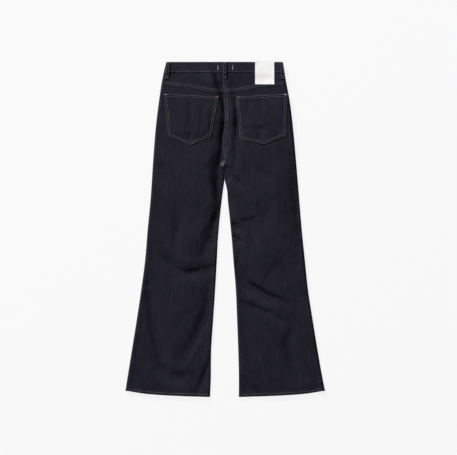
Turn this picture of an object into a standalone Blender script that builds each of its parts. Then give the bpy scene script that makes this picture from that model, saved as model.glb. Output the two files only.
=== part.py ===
"""Bootcut jeans, laid flat with the back up.

Each cloth piece is a wall: a sheet of outer points, each with the vector that leads to its inner point. The
back panels lie on the front ones, and both turn towards each other in a small roll at the side seams and inseams.
+X points right as seen from above, +Y from the hems to the waist, and +Z up from the surface below.
The tables and the sizes are in millimetres; the meshes are in metres.
"""

import math
from collections import namedtuple

import bmesh
import bpy
import numpy as np

MM = 0.001

# ---------------------------------------------------------------- driving sizes

DENIM = 1.2  # wall of one layer
BAND_WALL = 2.4  # the waistband is two layers
HEM_WALL = 2.4  # turned up and stitched
HEM_DEPTH = 10.0
GAP = 0.3  # between pieces at a seam, and between layers
TOP = 536.0  # from the middle of the length up to the waist's edge
BAND = 34.0  # height of the waistband
ROLL = 5.0  # how far in from the edge the side rolls reach
MID = 3.2  # height of the side seams above the surface
FRONT_DIP = 24.0  # how much lower the waist is at the centre front
CROTCH = 200.0  # height in Y of the point where the four legs' seams meet
CROTCH_FADE = 70.0  # above it the seat seam rises back to the panel's height

PATCH_WALL = 1.2
LABEL_WALL = 1.0
LOOP_WALL = 2.0
LOOP_WIDTH = 11.5
LOOP_LENGTH = 53.5
LOOP_REST = 0.7  # a loop's clearance over the cloth below it
RAMP = 8.0  # how far below the waistband a loop or label starts to rise over its edge

BUTTON_X = -14.0
BUTTON_RADIUS = 8.5
BUTTON_CAP = 2.0
SHANK_RADIUS = 2.2
BUTTONHOLE = (17.0, 6.0)
BAND_END_LEFT = 1.0  # the wearer's left end, outermost
BAND_END_RIGHT = -38.0  # the wearer's right end runs on behind it
BAND_STEP = (44.0, 4.0)  # over this stretch the right end rises to lie on the left one

POCKET_MOUTH = (104.0, 92.0)  # the front scoop: along the waist, and down the side seam
FACING_LAP = 24.0  # the facing reaches this far in under the scoop's edge

BACK_COLUMNS = 14  # across the flat stretch of a back leg
BACK_STEP = 23.0  # between its rows
FRONT_COLUMNS = 10
FRONT_STEP = 40.0

# ---------------------------------------------------------------- outline

Side = namedtuple("Side", "y left right")
OUTSEAMS = [
    Side(536, -189.0, 184.8),
    Side(523, -192.4, 187.1),
    Side(478, -202.2, 194.2),
    Side(414, -212.0, 206.2),
    Side(318, -223.5, 218.0),
    Side(222, -230.9, 226.7),
    Side(94, -239.5, 237.3),
    Side(-2, -248.8, 245.3),
    Side(-98, -256.8, 255.2),
    Side(-194, -269.3, 265.4),
    Side(-290, -283.7, 280.2),
    Side(-386, -299.0, 295.8),
    Side(-482, -314.4, 312.8),
    Side(-516.9, -319.8, 319.8),
]
INSEAMS = [
    Side(158, -2.15, -1.85),
    Side(126, -6.9, 5.6),
    Side(94, -11.0, 8.2),
    Side(30, -18.1, 14.9),
    Side(-34, -23.5, 21.0),
    Side(-98, -26.7, 26.1),
    Side(-194, -32.2, 33.8),
    Side(-290, -38.6, 37.9),
    Side(-386, -44.9, 41.5),
    Side(-482, -46.2, 43.7),
    Side(-536, -48.5, 43.3),
]

Seam = namedtuple("Seam", "y x")
SEAT_SEAM = [
    Seam(536, -2.1),
    Seam(438, -1.4),
    Seam(387, 3.4),
    Seam(358, 4.3),
    Seam(302, -1.4),
    Seam(254, -2.4),
    Seam(233, 0.8),
    Seam(210, -7.4),
    Seam(200, -8.8),
    Seam(158, -2.0),
]
FRONT_SEAM = [Seam(536, 1.0), Seam(330, 0.5), Seam(250, -4.0), Seam(200, -8.8), Seam(158, -2.0)]

Edge = namedtuple("Edge", "across y")  # across runs from 0 at the centre or inseam to 1 at the side seam
YOKE_SEAM = [
    Edge(0.0, 442.0),
    Edge(0.15, 444.5),
    Edge(0.3, 449.5),
    Edge(0.45, 455.5),
    Edge(0.6, 460.5),
    Edge(0.8, 464.0),
    Edge(1.0, 467.5),
]
HEM = [Edge(0.0, -536.0), Edge(0.36, -533.0), Edge(0.6, -529.7), Edge(0.83, -524.3), Edge(1.0, -516.9)]

# ---------------------------------------------------------------- how high the back lies

Height = namedtuple("Height", "y z")
BASE = [
    Height(536, 7.4),
    Height(460, 7.4),
    Height(400, 7.2),
    Height(300, 7.0),
    Height(200, 6.4),
    Height(60, 5.8),
    Height(-100, 5.6),
    Height(-350, 5.2),
    Height(-536, 5.0),
]
SEAM_RIDGE = 1.2  # the folded seam allowances lift the cloth along the legs' edges
SEAM_RIDGE_WIDTH = 14.0
LOWEST = 3.0  # the back's outer face never comes lower than this above the front's

Fold = namedtuple("Fold", "depth width shoulder path")  # shoulder: height of a ridge along the path's left
FOLDS = [
    # seat
    Fold(-3.4, 11, 0.0, [(-24, 470), (-15, 430), (-14, 320), (-21, 215)]),
    Fold(-2.4, 11, 0.0, [(12, 446), (31, 382), (38, 286)]),
    Fold(2.6, 10, 0.0, [(-1, 450), (5, 370), (-1, 300), (-1, 250)]),
    Fold(-2.0, 9, 1.0, [(20, 179), (50, 152)]),
    Fold(-1.4, 9, 1.0, [(114, 197), (154, 162)]),
    # the wearer's left leg
    Fold(-2.6, 16, 0.0, [(-52, 206), (-42, 120), (-28, 60)]),
    Fold(-2.4, 10, 3.0, [(-85, -91), (-76, -54), (-52, 3), (-24, 59)]),
    Fold(-1.6, 16, 0.0, [(-162, 50), (-162, -62)]),
    Fold(-2.6, 11, 3.4, [(-33, -114), (-71, -120), (-114, -133), (-165, -110), (-191, -82)]),
    Fold(-2.0, 13, 1.6, [(-128, -453), (-165, -460), (-207, -443), (-228, -316), (-249, -185)]),
    Fold(-1.8, 12, 1.4, [(-151, -414), (-118, -382), (-66, -279), (-52, -232)]),
    Fold(-1.4, 10, 0.8, [(-104, -518), (-66, -453), (-50, -415)]),
    # the wearer's right leg
    Fold(-2.2, 9, 1.6, [(48, -28), (23, -7)]),
    Fold(-2.0, 9, 1.6, [(46, 10), (20, 31)]),
    Fold(-1.6, 9, 1.2, [(98, 40), (56, 31)]),
    Fold(-3.0, 11, 4.2, [(34, -101), (60, -122), (88, -162), (117, -188), (150, -206), (186, -226)]),
    Fold(-2.2, 12, 2.2, [(41, -213), (70, -232), (107, -246), (145, -263), (176, -282)]),
    Fold(-1.8, 13, 1.2, [(46, -415), (79, -462), (107, -500)]),
    Fold(-1.6, 14, 0.0, [(200, 224), (215, 125), (222, 36)]),
    Fold(-1.6, 22, 0.0, [(215, -302), (201, -373), (239, -467)]),
]
EDGE_FADE = 24.0  # folds run out this far from the side seams and inseams

Bump = namedtuple("Bump", "x height width")
FRONT_BUMPS = [  # the button and the front loops lift the front's cloth off the surface below
    Bump(BUTTON_X, 2.6, 46.0),
    Bump(-96.0, 3.0, 44.0),
    Bump(96.0, 3.0, 44.0),
]
BUMP_FADE = (462.0, 395.0)
WAIST_BULGE = Bump(-12.0, 2.4, 72.0)  # the back rises over the button and the waistband's doubled ends

# ---------------------------------------------------------------- what lies on the back

POCKETS = {
    "left": [(-196.0, 434.2), (-183.4, 298.9), (-112.0, 269.3), (-45.3, 296.8), (-19.7, 425.5)],
    "right": [(35.1, 425.5), (45.1, 291.9), (122.4, 271.0), (194.0, 298.9), (199.4, 434.2)],
}
Patch = namedtuple("Patch", "x0 x1 y0 y1")
LABEL = Patch(95.5, 156.6, 464.3, 535.5)

Loop = namedtuple("Loop", "top bottom")  # the middle of each end, in X
BACK_LOOPS = {
    "centre_back": Loop(-2.0, -2.0),
    "side_left": Loop(-182.6, -187.4),
    "side_right": Loop(178.4, 183.8),
}
FRONT_LOOPS = {"front_left": Loop(-96.0, -96.0), "front_right": Loop(96.0, 96.0)}

DENIM_COLOUR = (0.018, 0.0172, 0.026, 1.0)
LABEL_COLOUR = (0.84, 0.84, 0.82, 1.0)
METAL_COLOUR = (0.42, 0.30, 0.20, 1.0)

# ---------------------------------------------------------------- curves and surfaces


def smooth(xs, ys):
    """A smooth function through the points (xs, ys), level past its ends."""
    order = np.argsort(xs)
    x_known = np.asarray(xs, float)[order]
    y_known = np.asarray(ys, float)[order]
    slope = np.gradient(y_known, x_known)

    def at(x):
        x = min(max(x, x_known[0]), x_known[-1])
        i = min(max(int(np.searchsorted(x_known, x)) - 1, 0), len(x_known) - 2)
        step = x_known[i + 1] - x_known[i]
        t = (x - x_known[i]) / step
        rise = t * t * (3 - 2 * t)
        bend = slope[i] * (t - 2 * t**2 + t**3) + slope[i + 1] * (t**3 - t**2)
        return y_known[i] + (y_known[i + 1] - y_known[i]) * rise + step * bend

    return at


def ease(start, end, x):
    """0 before start, 1 after end, and smooth between them; end may be below start."""
    t = min(max((x - start) / (end - start), 0.0), 1.0)
    return t * t * (3 - 2 * t)


def columns_of(table, x_name, y_name):
    return smooth([getattr(row, x_name) for row in table], [getattr(row, y_name) for row in table])


OUT = {side: columns_of(OUTSEAMS, "y", side) for side in ("left", "right")}
IN = {side: columns_of(INSEAMS, "y", side) for side in ("left", "right")}
SEAM_AT = {"back": columns_of(SEAT_SEAM, "y", "x"), "front": columns_of(FRONT_SEAM, "y", "x")}
AWAY = {"left": -1.0, "right": 1.0}  # from the centre towards the side seam, in X
yoke_y = columns_of(YOKE_SEAM, "across", "y")
hem_y = columns_of(HEM, "across", "y")
base_z = columns_of(BASE, "y", "z")


def inner_x(side, face, y):
    """The panel's inner edge: the seat or fly seam above the apex between the legs, and the inseam below it."""
    apex = INSEAMS[0].y
    if y >= apex:
        return SEAM_AT[face](y) + AWAY[side] * GAP / 2
    return IN[side](y)


def crotch_drop(y):
    """1 where the inner edge is an inseam, rolled down to the side seams' height; 0 where it is a flat seam."""
    return ease(CROTCH + CROTCH_FADE, CROTCH, y)


def near_path(x, y, path):
    """The signed distance to the path (+ to its left), and the share of the path's length at that point."""
    best = None
    lengths = [math.dist(a, b) for a, b in zip(path, path[1:])]
    run = 0.0
    for (ax, ay), (bx, by), length in zip(path, path[1:], lengths):
        ux, uy = (bx - ax) / length, (by - ay) / length
        along = min(max((x - ax) * ux + (y - ay) * uy, 0.0), length)
        dx, dy = x - ax - along * ux, y - ay - along * uy
        distance = math.hypot(dx, dy)
        if best is None or distance < best[0]:
            best = (distance, math.copysign(1.0, ux * dy - uy * dx), (run + along) / sum(lengths))
        run += length
    return best[0] * best[1], best[2]


def fold_height(x, y):
    total = 0.0
    for fold in FOLDS:
        away, share = near_path(x, y, fold.path)
        if abs(away) > 5 * fold.width:
            continue
        taper = math.sqrt(max(math.sin(math.pi * min(max(share, 0.06), 0.94)), 0.0))
        total += fold.depth * taper * math.exp(-((away / fold.width) ** 2))
        total += fold.shoulder * taper * math.exp(-(((away - 2.0 * fold.width) / (1.3 * fold.width)) ** 2))
    return total


def front_z(x, y):
    """Height of the front's lower face above the surface that the jeans lie on."""
    fade = ease(BUMP_FADE[1], BUMP_FADE[0], y)
    return fade * max(bump.height * math.exp(-(((x - bump.x) / bump.width) ** 2)) for bump in FRONT_BUMPS)


def back_z(x, y):
    """Height of the back's upper face, before it rolls down at its edges."""
    side = "left" if x < SEAM_AT["back"](y) else "right"
    from_side = abs(OUT[side](y) - x)
    from_inner = abs(x - inner_x(side, "back", y))
    open_leg = crotch_drop(y)
    nearest = min(from_side, from_inner + (1 - open_leg) * 1000.0)
    ridge = SEAM_RIDGE * ease(460, 400, y) * math.exp(-((nearest / SEAM_RIDGE_WIDTH) ** 2))
    bulge = WAIST_BULGE.height * math.exp(-(((x - WAIST_BULGE.x) / WAIST_BULGE.width) ** 2))
    bulge *= ease(400, 470, y)
    folds = fold_height(x, y) * ease(0, EDGE_FADE, nearest)
    z = base_z(y) + ridge + bulge + folds
    floor = front_z(x, y) + LOWEST
    return floor + 0.5 * ((z - floor) + math.sqrt((z - floor) ** 2 + 0.6))


# ---------------------------------------------------------------- sheets

Column = namedtuple("Column", "across edge angle")  # edge: inner, outer or None; angle: 90 where flat
Point = namedtuple("Point", "place inward")  # inward: unit vector from the outer to the inner face
ROLL_ANGLES = (0, 30, 60)


def make_columns(count, inner_roll=True):
    """Columns across a panel, from its inner edge to its outer one, with count of them over the flat stretch."""
    inner = [Column(0.0, "inner", angle) for angle in ROLL_ANGLES] if inner_roll else []
    flat = [Column(float(across), None, 90) for across in np.linspace(0, 1, count)]
    outer = [Column(1.0, "outer", angle) for angle in reversed(ROLL_ANGLES)]
    return [*inner, *flat, *outer]


def panel_point(side, face, column, y, inner_roll=True):
    """The outer point of a panel and the way to its inner face. The back's face is above, the front's below."""
    away = AWAY[side]
    first, last = inner_x(side, face, y), OUT[side](y)
    angle = math.radians(column.angle)
    if column.edge == "inner":
        x, drop, turn = first + away * ROLL * (1 - math.cos(angle)), crotch_drop(y), away
    elif column.edge == "outer":
        x, drop, turn = last - away * ROLL * (1 - math.cos(angle)), 1.0, -away
    else:
        start = first + away * ROLL * (1.0 if inner_roll else 0.0)
        x, drop, turn = start + (last - away * ROLL - start) * column.across, 0.0, away
    tilt = math.pi / 2 - drop * (math.pi / 2 - angle)
    if face == "back":
        z = back_z(x, y)
        z -= drop * (z - MID - GAP / 2) * (1 - math.sin(angle))
        return Point((x, y, z), (turn * math.cos(tilt), 0.0, -math.sin(tilt)))
    z = front_z(x, y)
    z += drop * (MID - GAP / 2 - z) * (1 - math.sin(angle))
    return Point((x, y, z), (turn * math.cos(tilt), 0.0, math.sin(tilt)))


def moved(point, inward):
    return Point(tuple(p + inward * d for p, d in zip(point.place, point.inward)), point.inward)


def sheet_mesh(rows, walls):
    """An open mesh of triangles through rows of points. Its vertex layer holds the vectors to the inner face."""
    mesh = bmesh.new()
    layer = mesh.verts.layers.float_vector.new("inward")
    grid = []
    for row, wall_row in zip(rows, walls):
        line = []
        for point, wall in zip(row, wall_row):
            vertex = mesh.verts.new([c * MM for c in point.place])
            vertex[layer] = [c * wall * MM for c in point.inward]
            line.append(vertex)
        grid.append(line)
    for upper, lower in zip(grid, grid[1:]):
        for i in range(len(upper) - 1):
            mesh.faces.new((upper[i], lower[i], lower[i + 1]))
            mesh.faces.new((upper[i], lower[i + 1], upper[i + 1]))
    return mesh


def same_wall(rows, wall):
    return [[wall] * len(row) for row in rows]


def thicken(mesh):
    """Close a sheet into a wall, by the vectors of its vertex layer."""
    layer = mesh.verts.layers.float_vector["inward"]
    made = bmesh.ops.extrude_face_region(mesh, geom=mesh.faces[:])
    for part in made["geom"]:
        if isinstance(part, bmesh.types.BMVert):
            part.co = part.co + part[layer]
    bmesh.ops.recalc_face_normals(mesh, faces=mesh.faces[:])
    return mesh


def move_out(mesh, distance, wall):
    """Move a sheet away from its panel, and give it a wall of its own on top."""
    layer = mesh.verts.layers.float_vector["inward"]
    for vertex in mesh.verts:
        out = -vertex[layer].normalized()
        vertex.co = vertex.co + out * distance * MM
        vertex[layer] = out * wall * MM


def cut_to(mesh, outline):
    """Keep what lies inside a convex outline, whose points run anticlockwise as seen from above."""
    for (ax, ay), (bx, by) in zip(outline, outline[1:] + outline[:1]):
        bmesh.ops.bisect_plane(
            mesh,
            geom=[*mesh.verts, *mesh.edges, *mesh.faces],
            dist=1e-6,
            plane_co=(ax * MM, ay * MM, 0),
            plane_no=(by - ay, ax - bx, 0),
            clear_outer=True,
        )
    bmesh.ops.triangulate(mesh, faces=[face for face in mesh.faces if len(face.verts) > 3])


# ---------------------------------------------------------------- objects


def clear_scene():
    for ob in list(bpy.data.objects):
        bpy.data.objects.remove(ob, do_unlink=True)


def new_collection(name):
    made = bpy.data.collections.new(name)
    bpy.context.scene.collection.children.link(made)
    return made


def material(name, colour, roughness, metallic=0.0):
    made = bpy.data.materials.get(name) or bpy.data.materials.new(name)
    made.use_nodes = True
    shader = made.node_tree.nodes["Principled BSDF"]
    shader.inputs["Base Color"].default_value = colour
    shader.inputs["Roughness"].default_value = roughness
    shader.inputs["Metallic"].default_value = metallic
    made.diffuse_color = colour
    return made


def add_object(mesh, name, collection, look=None):
    data = bpy.data.meshes.new(name)
    mesh.to_mesh(data)
    mesh.free()
    ob = bpy.data.objects.new(name, data)
    collection.objects.link(ob)
    if look:
        data.materials.append(look)
    return ob


def boolean(ob, cutter, operation):
    modifier = ob.modifiers.new(cutter.name, "BOOLEAN")
    modifier.operation = operation
    modifier.object = cutter
    modifier.solver = "EXACT"


def oval_cutter(name, centre, radii, collection):
    """An upright oval column that passes through every layer."""
    mesh = bmesh.new()
    bmesh.ops.create_cone(mesh, cap_ends=True, segments=64, radius1=1, radius2=1, depth=0.06)
    bmesh.ops.scale(mesh, vec=(radii[0] * MM, radii[1] * MM, 1), verts=mesh.verts)
    bmesh.ops.translate(mesh, vec=(centre[0] * MM, centre[1] * MM, 0), verts=mesh.verts)
    ob = add_object(mesh, name, collection)
    ob.hide_render = True
    ob.display_type = "WIRE"
    return ob


# ---------------------------------------------------------------- the pieces


def leg_rows(side, face, columns, top_of, step):
    """Rows of a leg from its top edge to its hem, and their walls. The last two rows are the turned-up hem."""
    length = top_of(0.0) - hem_y(0.0)
    count = round(length / step)
    shares = [float(share) for share in np.linspace(0, 1 - (HEM_DEPTH + 2) / length, count)]
    shares += [1 - HEM_DEPTH / length, 1.0]
    rows, walls = [], []
    for number, share in enumerate(shares):
        hemmed = number >= len(shares) - 2
        row = []
        for column in columns:
            y = top_of(column.across) * (1 - share) + hem_y(column.across) * share
            point = panel_point(side, face, column, y)
            thick = (HEM_WALL - DENIM) / 2 if hemmed and column.edge is None and face == "back" else 0.0
            row.append(moved(point, -thick))
        rows.append(row)
        wall = HEM_WALL if hemmed else DENIM
        walls.append([wall if column.edge is None else DENIM for column in columns])
    return rows, walls


def back_leg(side, collection, look):
    columns = make_columns(BACK_COLUMNS)
    rows, walls = leg_rows(side, "back", columns, lambda across: yoke_y(across) - GAP / 2, BACK_STEP)
    pocket = sheet_mesh(rows, walls)
    add_object(thicken(sheet_mesh(rows, walls)), f"back_leg_{side}", collection, look)
    cut_to(pocket, POCKETS[side])
    move_out(pocket, GAP, PATCH_WALL)
    add_object(thicken(pocket), f"back_pocket_{side}", collection, look)


def yoke(side, collection, look):
    columns = make_columns(10, inner_roll=False)
    rows = []
    for share in (0.0, 0.33, 0.67, 1.0):
        row = []
        for column in columns:
            top, bottom = TOP - BAND - GAP / 2, yoke_y(column.across) + GAP / 2
            row.append(panel_point(side, "back", column, top + (bottom - top) * share, inner_roll=False))
        rows.append(row)
    add_object(thicken(sheet_mesh(rows, same_wall(rows, DENIM))), f"yoke_{side}", collection, look)


def front_waist(across):
    """Y of the waist's upper edge on the front, lowest at the centre."""
    return TOP - FRONT_DIP * math.cos(math.pi / 2 * min(abs(across), 1.0)) ** 2


def pocket_corner(side):
    """Where the waistband meets the side seam, on the front: the middle of the scooped pocket mouth."""
    y = TOP - BAND
    return OUT[side](y), y


def front_rows(side):
    def top_of(across):
        return front_waist(across) - BAND - GAP / 2

    return leg_rows(side, "front", make_columns(FRONT_COLUMNS), top_of, FRONT_STEP)


def front_leg(side, collection, cutters, look):
    leg = add_object(thicken(sheet_mesh(*front_rows(side))), f"front_leg_{side}", collection, look)
    boolean(leg, oval_cutter(f"mouth_{side}", pocket_corner(side), POCKET_MOUTH, cutters), "DIFFERENCE")


def front_facing(side, collection, cutters, look):
    """The cloth seen in the scooped mouth: the front's own points, one layer further in."""
    first = len(ROLL_ANGLES) + FRONT_COLUMNS // 3
    count = math.ceil((POCKET_MOUTH[1] + FACING_LAP) / FRONT_STEP) + 2
    rows = [[moved(point, DENIM + GAP) for point in row[first:]] for row in front_rows(side)[0][:count]]
    wall = thicken(sheet_mesh(rows, same_wall(rows, DENIM)))
    facing = add_object(wall, f"pocket_facing_{side}", collection, look)
    reach = [size + FACING_LAP for size in POCKET_MOUTH]
    boolean(facing, oval_cutter(f"facing_edge_{side}", pocket_corner(side), reach, cutters), "INTERSECT")


def band_stations():
    """Places along the waistband, from its left end under the front, round the back, to its right end.

    Each is (side, face, share of the half width or None on a roll, roll angle)."""
    end_left = BAND_END_LEFT / OUT["left"](TOP - BAND)
    end_right = BAND_END_RIGHT / OUT["right"](TOP - BAND)
    under_left = [("left", "front", float(f), 90) for f in np.linspace(end_left, 1, 10)]
    up_left = [("left", "front", None, angle) for angle in (60, 30)]
    up_left += [("left", "back", None, angle) for angle in (0, 30, 60)]
    over = [("left", "back", float(f), 90) for f in np.linspace(1, 0, 9)]
    over += [("right", "back", float(f), 90) for f in np.linspace(0, 1, 9)[1:]]
    down_right = [("right", "back", None, angle) for angle in (60, 30, 0)]
    down_right += [("right", "front", None, angle) for angle in (30, 60)]
    under_right = [("right", "front", float(f), 90) for f in np.linspace(1, end_right, 13)]
    return [*under_left, *up_left, *over, *down_right, *under_right]


def band_point(side, face, share, angle, down):
    """A point on the waistband, down from its upper edge by a share of its height."""
    away = AWAY[side]
    y = (TOP if share is None or face == "back" else front_waist(share)) - BAND * down
    edge = OUT[side](y)
    turn = math.radians(angle)
    x = edge - away * ROLL * (1 - math.cos(turn)) if share is None else share * (edge - away * ROLL)
    extra = BAND_WALL - DENIM
    if face == "back":
        high = back_z(x, y) + extra
        z = MID + (high - MID) * math.sin(turn)
        return Point((x, y, z), (-away * math.cos(turn), 0.0, -math.sin(turn)))
    low = front_z(x, y)
    if side == "right":
        low += (BAND_WALL + GAP) * ease(*BAND_STEP, x)
    z = MID - (MID - low) * math.sin(turn)
    return Point((x, y, z), (-away * math.cos(turn), 0.0, math.sin(turn)))


def waistband(collection, cutters, look):
    stations = band_stations()
    rows = [[band_point(*station, down) for station in stations] for down in (0.0, 0.33, 0.67, 1.0)]
    band = add_object(thicken(sheet_mesh(rows, same_wall(rows, BAND_WALL))), "waistband", collection, look)
    hole = oval_cutter("buttonhole", button_place(), [size / 2 for size in BUTTONHOLE], cutters)
    hole.data.transform(hole.matrix_world)
    top = front_z(*button_place()) + BAND_WALL + GAP / 2
    for vertex in hole.data.vertices:
        if vertex.co.z > 0:
            vertex.co.z = top * MM
    boolean(band, hole, "DIFFERENCE")


def button_place():
    return BUTTON_X, front_waist(BUTTON_X / OUT["left"](TOP)) - BAND / 2


def waist_button(collection, look):
    """A shank button. Its cap lies under the left end; its shank goes through the buttonhole to the right end."""
    x, y = button_place()
    shank_top = front_z(x, y) + BAND_WALL
    mesh = bmesh.new()
    profile = [(0.0, 0.0), (0.88, 0.0), (1.0, 0.3), (1.0, 0.7), (0.85, 1.0)]
    rings = [(BUTTON_RADIUS * radius, BUTTON_CAP * height) for radius, height in profile]
    rings += [(SHANK_RADIUS, BUTTON_CAP), (SHANK_RADIUS, shank_top), (0.0, shank_top)]
    line = [mesh.verts.new((radius * MM, 0, height * MM)) for radius, height in rings]
    edges = [mesh.edges.new(pair) for pair in zip(line, line[1:])]
    bmesh.ops.spin(
        mesh,
        geom=[*line, *edges],
        axis=(0, 0, 1),
        cent=(0, 0, 0),
        dvec=(0, 0, 0),
        angle=math.tau,
        steps=24,
        use_merge=True,
    )
    bmesh.ops.remove_doubles(mesh, verts=mesh.verts[:], dist=1e-6)
    bmesh.ops.recalc_face_normals(mesh, faces=mesh.faces[:])
    button = add_object(mesh, "waist_button", collection, look)
    button.location = (x * MM, y * MM, 0)


def over_band(y):
    """How far the waistband stands above the panels, eased in below its edge for what lies over both."""
    return (BAND_WALL - DENIM) * ease(TOP - BAND - RAMP, TOP - BAND - 1.0, y)


def rolled_back_z(x, y):
    """The back's upper face with its roll at the side seam."""
    side = "left" if x < 0 else "right"
    inside = max(abs(OUT[side](y)) - abs(x), 0.0)
    high = back_z(x, y)
    if inside >= ROLL:
        return high
    return MID + (high - MID) * math.sqrt(1 - (1 - inside / ROLL) ** 2)


def label(collection, look):
    rows = []
    for y in np.linspace(LABEL.y1, LABEL.y0, 9):
        row = []
        for x in np.linspace(LABEL.x0, LABEL.x1, 7):
            z = back_z(float(x), float(y)) + over_band(float(y)) + GAP + 0.2 + LABEL_WALL
            row.append(Point((float(x), float(y), z), (0.0, 0.0, -1.0)))
        rows.append(row)
    add_object(thicken(sheet_mesh(rows, same_wall(rows, LABEL_WALL))), "label_patch", collection, look)


def belt_loop(name, loop, face, collection, look):
    """A strip from the waist's edge to below the waistband, which it bridges."""
    rows = []
    for share in (0.0, 0.12, 0.35, 0.55, 0.68, 0.8, 0.9, 1.0):
        middle = loop.top + (loop.bottom - loop.top) * share
        row = []
        for across in (-0.5, -0.25, 0.0, 0.25, 0.5):
            x = middle + across * LOOP_WIDTH
            if face == "back":
                y = TOP - 0.5 - LOOP_LENGTH * share
                z = rolled_back_z(x, y) + over_band(y) + LOOP_REST + LOOP_WALL
                row.append(Point((x, y, z), (0.0, 0.0, -1.0)))
            else:
                y = front_waist(middle / OUT["right"](TOP)) - 0.5 - LOOP_LENGTH * share
                row.append(Point((x, y, 0.0), (0.0, 0.0, 1.0)))
        rows.append(row)
    add_object(thicken(sheet_mesh(rows, same_wall(rows, LOOP_WALL))), f"belt_loop_{name}", collection, look)


def main():
    clear_scene()
    jeans = new_collection("bootcut_jeans")
    cutters = new_collection("cutters")
    denim = material("denim", DENIM_COLOUR, 0.85)
    patch = material("label", LABEL_COLOUR, 0.6)
    metal = material("button_metal", METAL_COLOUR, 0.35, metallic=1.0)
    for side in ("left", "right"):
        back_leg(side, jeans, denim)
        yoke(side, jeans, denim)
        front_leg(side, jeans, cutters, denim)
        front_facing(side, jeans, cutters, denim)
    waistband(jeans, cutters, denim)
    for name, loop in BACK_LOOPS.items():
        belt_loop(name, loop, "back", jeans, denim)
    for name, loop in FRONT_LOOPS.items():
        belt_loop(name, loop, "front", jeans, denim)
    label(jeans, patch)
    waist_button(jeans, metal)


main()
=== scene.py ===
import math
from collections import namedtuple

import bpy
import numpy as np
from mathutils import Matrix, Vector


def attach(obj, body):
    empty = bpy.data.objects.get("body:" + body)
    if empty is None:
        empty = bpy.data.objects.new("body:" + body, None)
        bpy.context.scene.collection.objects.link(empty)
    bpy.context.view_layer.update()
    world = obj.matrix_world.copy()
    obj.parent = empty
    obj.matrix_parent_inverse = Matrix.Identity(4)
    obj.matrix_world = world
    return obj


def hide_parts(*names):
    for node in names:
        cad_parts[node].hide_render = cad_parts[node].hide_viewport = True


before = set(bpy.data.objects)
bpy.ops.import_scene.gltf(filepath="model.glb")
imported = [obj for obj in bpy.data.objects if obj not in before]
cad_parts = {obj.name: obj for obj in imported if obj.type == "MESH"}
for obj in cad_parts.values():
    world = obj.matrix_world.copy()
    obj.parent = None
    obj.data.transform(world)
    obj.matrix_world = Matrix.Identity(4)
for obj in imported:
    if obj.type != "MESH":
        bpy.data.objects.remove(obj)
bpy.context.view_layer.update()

# The looks of the bootcut jeans, laid flat with the back up and seen from straight above.
#
# Every cloth piece is a thin closed wall on the form of the solid it stands for, with its creases, its
# puckered seams and its rolled edges; threads are rows of small beads on the cloth. Sizes and places are in
# millimetres until a mesh is made: +X to the right as seen from above, +Y from the hems to the waist, +Z up.

MM = 0.001
SIDES = ("left", "right")


def table(columns, *rows):
    """Rows with named columns."""
    row_of = namedtuple("Row", columns)
    return [row_of(*row) for row in rows]


# ---- sizes shared with the solids

DENIM = 1.2
BAND_WALL = 2.4
GAP = 0.3
TOP = 536.0
BAND = 34.0
WAIST_SEAM = TOP - BAND
MID = 3.2  # height of the side seams
FRONT_DIP = 24.0
CROTCH = 200.0
CROTCH_FADE = 70.0
HEM_DEPTH = 10.0
LABEL_WALL = 1.0
LOOP_WALL = 1.6
LOOP_WIDTH = 11.5
LOOP_LENGTH = 53.5
LOOP_DROP = 0.5  # from the waistband's top to a loop's
LOOP_TOP = TOP - LOOP_DROP
BUTTON_X = -14.0
BUTTON_RADIUS = 8.5
BUTTON_CAP = 2.0
SHANK_RADIUS = 2.2
BUTTONHOLE = (17.0, 6.0)
BAND_END_LEFT = 1.0
BAND_END_RIGHT = -38.0
BAND_STEP = (44.0, 4.0)
POCKET_MOUTH = (104.0, 92.0)
FACING_LAP = 24.0

# ---- sizes of the finer form

BACK_ROLL = 8.0  # how far in the back's rolled edges reach
FRONT_ROLL = 5.0
SEAM_LAP = 4.7  # the right-hand panel laps this far past the middle of the seat seam
SEAM_LIFT = 0.9  # where the folded allowances lie under a felled seam
YOKE_LAP = 4.6
ROW_STEP = 3.1  # between the twin rows' middle and each row
POCKET_ROWS = (1.9, 8.1)  # in from a pocket's edge
MOUTH_ROWS = (2.4, 8.6)  # past the edge of a front pocket's mouth
BAND_ROW = 2.4  # above the waistband's lower edge
HEM_ROW = 7.5  # above the hem's fold
THREAD = 0.38  # a thread's radius
THREAD_UNDER = 0.28  # and on the front, which lies on its threads
HEM_THREAD = 0.46
TACK_THREAD = 0.34
STITCH = 3.2
ON_CLOTH = 0.1  # a thread's middle line above the cloth
ON_HEM = 1.05  # and where the hem is turned up
UNDER = 0.4  # the front's cloth lies this far off the floor, on its threads
LOWEST = 3.1  # the back's outer face stays at least this far above the front's

OUTSEAMS = table(
    "y left right",
    (536, -189.0, 184.8), (523, -192.4, 187.1), (478, -202.2, 194.2), (414, -212.0, 206.2),
    (318, -223.5, 218.0), (222, -230.9, 226.7), (94, -239.5, 237.3), (-2, -248.8, 245.3),
    (-98, -256.8, 255.2), (-194, -269.3, 265.4), (-290, -283.7, 280.2), (-386, -299.0, 295.8),
    (-482, -314.4, 312.8), (-516.9, -319.8, 319.8),
)
INSEAMS = table(
    "y left right",
    (158, -2.15, -1.85), (126, -6.9, 5.6), (94, -11.0, 8.2), (30, -18.1, 14.9), (-34, -23.5, 21.0),
    (-98, -26.7, 26.1), (-194, -32.2, 33.8), (-290, -38.6, 37.9), (-386, -44.9, 41.5),
    (-482, -46.2, 43.7), (-536, -48.5, 43.3),
)
APEX = 158.0

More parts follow.
